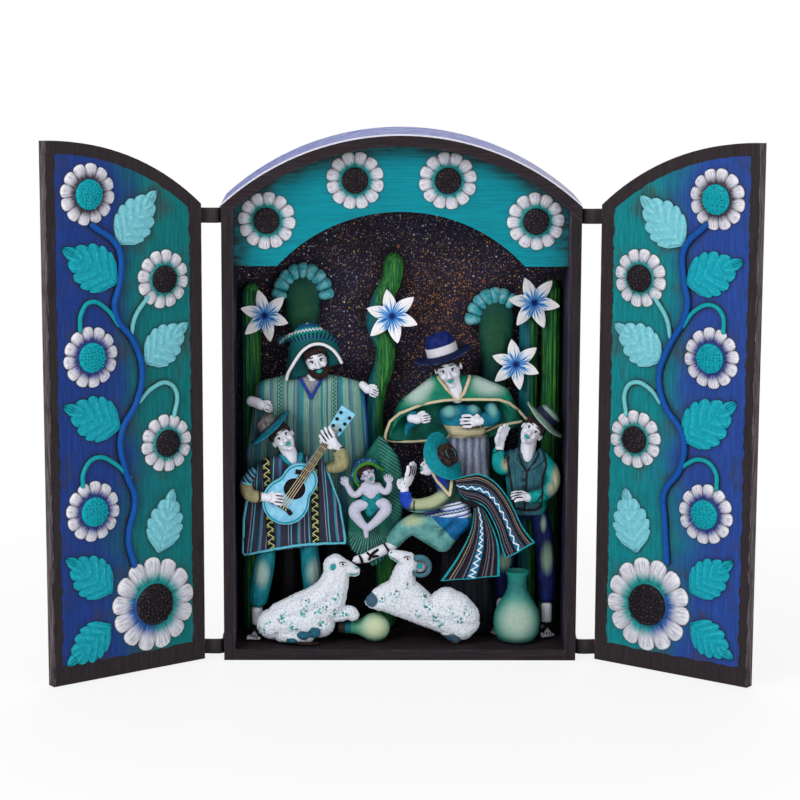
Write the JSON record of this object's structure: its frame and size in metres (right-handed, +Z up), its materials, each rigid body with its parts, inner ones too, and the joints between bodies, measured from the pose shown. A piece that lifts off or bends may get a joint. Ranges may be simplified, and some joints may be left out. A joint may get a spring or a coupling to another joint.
{
  "type": "retablo box",
  "caption": "Arched wooden retablo box with two carved, flower-covered doors on leather straps and a painted nativity scene of paste figures inside.",
  "frame": {"origin": "middle of the case's underside, on the surface it stands on", "axes": "+X to the right seen from the front, along the longest extent; +Y to the back; +Z up"},
  "size_m": [0.4098, 0.1244, 0.317],
  "materials": {
    "dark_wood": "matte paint, worn",
    "night_panel": "matte paint with spatter",
    "roof_paint": "dry brushed matte paint",
    "header_paint": "satin paint, antiqued",
    "door_paint": "satin paint, antiqued",
    "strap_leather": "matte",
    "petal_paste": "matte, lined",
    "dark_eye": "satin, beaded",
    "teal_eye": "satin, beaded",
    "teal_leaf": "satin",
    "pale_leaf": "satin",
    "vine_paste": "satin",
    "cactus_paste": "satin, streaked",
    "poncho_paste": "matte, striped",
    "cloth_paste": "matte, painted",
    "skin_paste": "matte",
    "hat_paste": "matte",
    "guitar_paste": "satin",
    "wool_paste": "rough matte",
    "vessel_paste": "satin, shaded"
  },
  "bodies": {
    "case": {"back_panel": "night_panel", "left_side": "dark_wood", "right_side": "dark_wood", "base_board": "dark_wood", "arched_roof": "dark_wood", "roof_cover": "roof_paint", "header_board": "header_paint", "header_daisies": "petal_paste", "header_eyes": "dark_eye", "left_straps": "strap_leather", "right_straps": "strap_leather", "left_paddle_cactus": "cactus_paste", "right_paddle_cactus": "cactus_paste", "left_column_cactus": "cactus_paste", "centre_column_cactus": "cactus_paste", "right_column_cacti": "cactus_paste", "star_flowers": "petal_paste", "elder_poncho": "poncho_paste", "elder_trousers": "cloth_paste", "elder_skin": "skin_paste", "elder_cap": "hat_paste", "woman_cape": "cloth_paste", "woman_dress": "cloth_paste", "woman_skin": "skin_paste", "woman_hat": "hat_paste", "guitarist_poncho": "poncho_paste", "guitarist_trousers": "cloth_paste", "guitarist_skin": "skin_paste", "guitarist_hat": "hat_paste", "guitar": "guitar_paste", "infant_skin": "skin_paste", "infant_cap": "hat_paste", "cradle_leaf": "cactus_paste", "kneeler_clothes": "cloth_paste", "kneeler_skin": "skin_paste", "kneeler_hat": "hat_paste", "kneeler_shawl": "cloth_paste", "vest_man_clothes": "cloth_paste", "vest_man_trousers": "cloth_paste", "vest_man_skin": "skin_paste", "vest_man_hat": "hat_paste", "ewe": "wool_paste", "ram": "wool_paste", "pot": "vessel_paste", "gourd": "vessel_paste"},
    "left_leaf": {"left_door": "door_paint", "left_daisies": "petal_paste", "left_teal_eyes": "teal_eye", "left_dark_eyes": "dark_eye", "left_teal_leaves": "teal_leaf", "left_pale_leaves": "pale_leaf", "left_vine": "vine_paste"},
    "right_leaf": {"right_door": "door_paint", "right_daisies": "petal_paste", "right_teal_eyes": "teal_eye", "right_dark_eyes": "dark_eye", "right_teal_leaves": "teal_leaf", "right_pale_leaves": "pale_leaf", "right_vine": "vine_paste"}
  },
  "joints": [
    {"name": "left_door_swing", "type": "hinge", "parent": "case", "child": "left_leaf", "pos_m": [-0.1115, -0.0289, 0.15], "axis": [0, 0, 1], "range_deg": [-88, 143], "deforming": ["left_straps"]},
    {"name": "right_door_swing", "type": "hinge", "parent": "case", "child": "right_leaf", "pos_m": [0.1115, -0.0289, 0.15], "axis": [0, 0, -1], "range_deg": [-88, 143], "deforming": ["right_straps"]}
  ]
}
